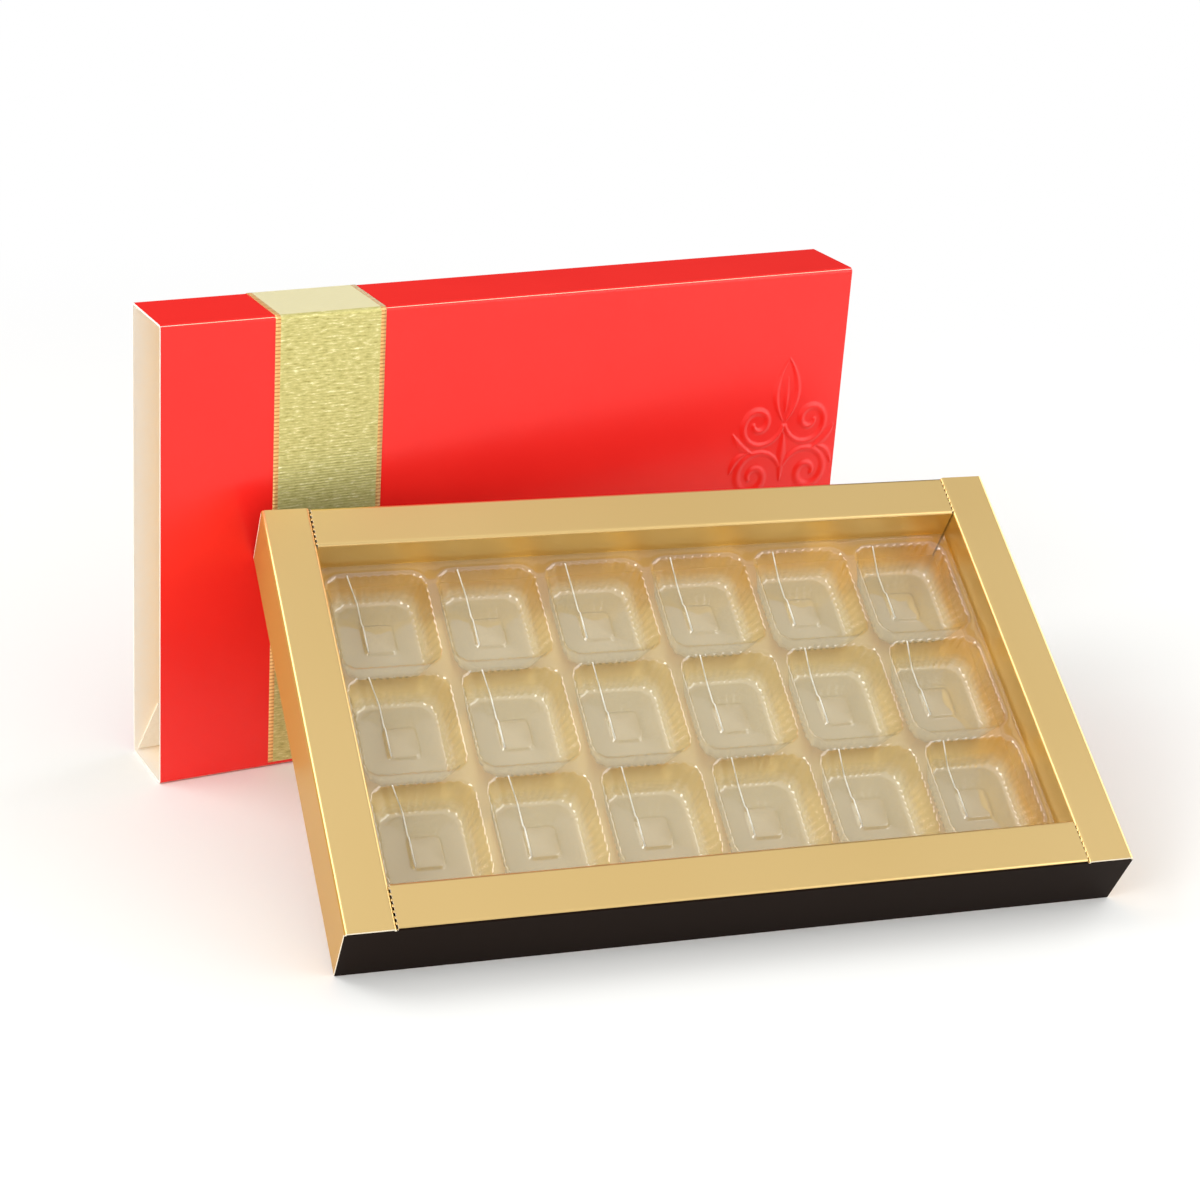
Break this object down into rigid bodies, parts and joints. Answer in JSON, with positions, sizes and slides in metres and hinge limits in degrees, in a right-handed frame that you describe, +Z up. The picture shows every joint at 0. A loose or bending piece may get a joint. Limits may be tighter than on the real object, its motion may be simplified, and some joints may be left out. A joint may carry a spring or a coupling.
{
  "type": "chocolate box",
  "caption": "Slip-sleeve chocolate box: gold card tray with hollow rails and a clear moulded cup insert, leaning open on its red sleeve with a gold band.",
  "frame": {"origin": "middle of the sleeve's bottom face, where it stands on the table", "axes": "+X along the sleeve's length, to the right seen from the front, +Y to the back, +Z up"},
  "size_m": [0.2415, 0.1889, 0.1371],
  "materials": {
    "red_board": "gloss",
    "white_board": "matte",
    "gold_glitter_paper": "satin",
    "gold_board": "satin",
    "clear_pet": "polished"
  },
  "bodies": {
    "sleeve": {"sleeve_wrap": "red_board", "sleeve_glue_flap": "white_board", "gold_band": "gold_glitter_paper"},
    "tray": {"tray_base": "gold_board", "front_rail": "gold_board", "back_rail": "gold_board", "left_rail": "gold_board", "right_rail": "gold_board", "corner_tab_front_left": "gold_board", "corner_tab_front_right": "gold_board", "corner_tab_back_left": "gold_board", "corner_tab_back_right": "gold_board"},
    "insert": {"cup_insert": "clear_pet"}
  },
  "joints": [
    {"name": "tray_slide", "type": "slide", "parent": "sleeve", "child": "tray", "axis": [1, 0, 0], "range_m": [0, 0.22]},
    {"name": "insert_lift", "type": "slide", "parent": "tray", "child": "insert", "axis": [-0.0906, -0.4887, 0.8678], "range_m": [0, 0.03]}
  ]
}
